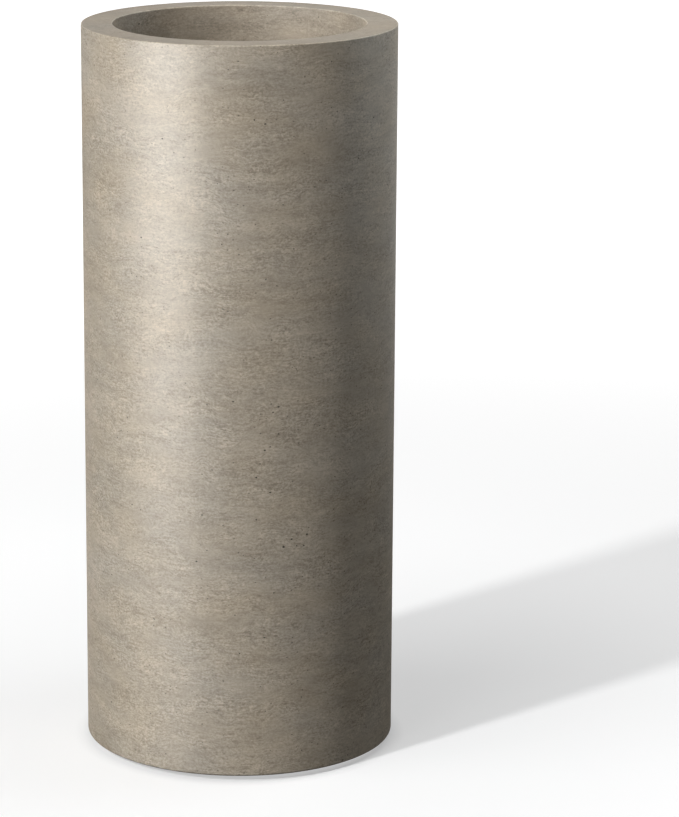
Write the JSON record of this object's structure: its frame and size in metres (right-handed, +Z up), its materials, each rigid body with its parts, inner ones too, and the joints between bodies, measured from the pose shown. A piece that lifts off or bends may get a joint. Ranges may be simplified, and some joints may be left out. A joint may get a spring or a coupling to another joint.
{
  "type": "cylindrical concrete planter",
  "caption": "Tall straight cylindrical planter of cast concrete with a thick flat rim, a plugged floor drain, a lift-out planting shelf on pegs and hidden rubber feet.",
  "frame": {"origin": "on the ground, at the planter's vertical axis", "axes": "+Z up along the planter's axis, -Y towards the viewer of the picture, +X to the viewer's right"},
  "size_m": [0.3, 0.3, 0.705],
  "materials": {
    "concrete": "matt cast concrete, warm grey-beige with streaks and pinholes",
    "mortar": "matt, sandy",
    "fitting_plastic": "moulded, satin",
    "shelf_plastic": "moulded, lightly grained",
    "black_rubber": "matt",
    "stainless_steel": "brushed"
  },
  "bodies": {
    "planter": {"wall_shell": "concrete", "floor_slab": "concrete", "mortar_bed": "mortar", "drain_gasket": "black_rubber", "drain_bush": "fitting_plastic", "drain_locknut": "fitting_plastic", "shelf_peg_1": "stainless_steel", "shelf_peg_2": "stainless_steel", "shelf_peg_3": "stainless_steel", "foot_pad_1": "black_rubber", "foot_pad_2": "black_rubber", "foot_pad_3": "black_rubber", "foot_pad_4": "black_rubber"},
    "shelf": {"shelf_plate": "shelf_plastic"},
    "strainer": {"drain_strainer": "stainless_steel"},
    "plug": {"drain_plug": "black_rubber"}
  },
  "joints": [
    {"name": "shelf_lift", "type": "slide", "parent": "planter", "child": "shelf", "axis": [0, 0, 1], "range_m": [0, 0.34]},
    {"name": "strainer_lift", "type": "slide", "parent": "planter", "child": "strainer", "axis": [0, 0, 1], "range_m": [0, 0.05]},
    {"name": "plug_pull", "type": "slide", "parent": "planter", "child": "plug", "axis": [0, 0, -1], "range_m": [0, 0.05]}
  ]
}
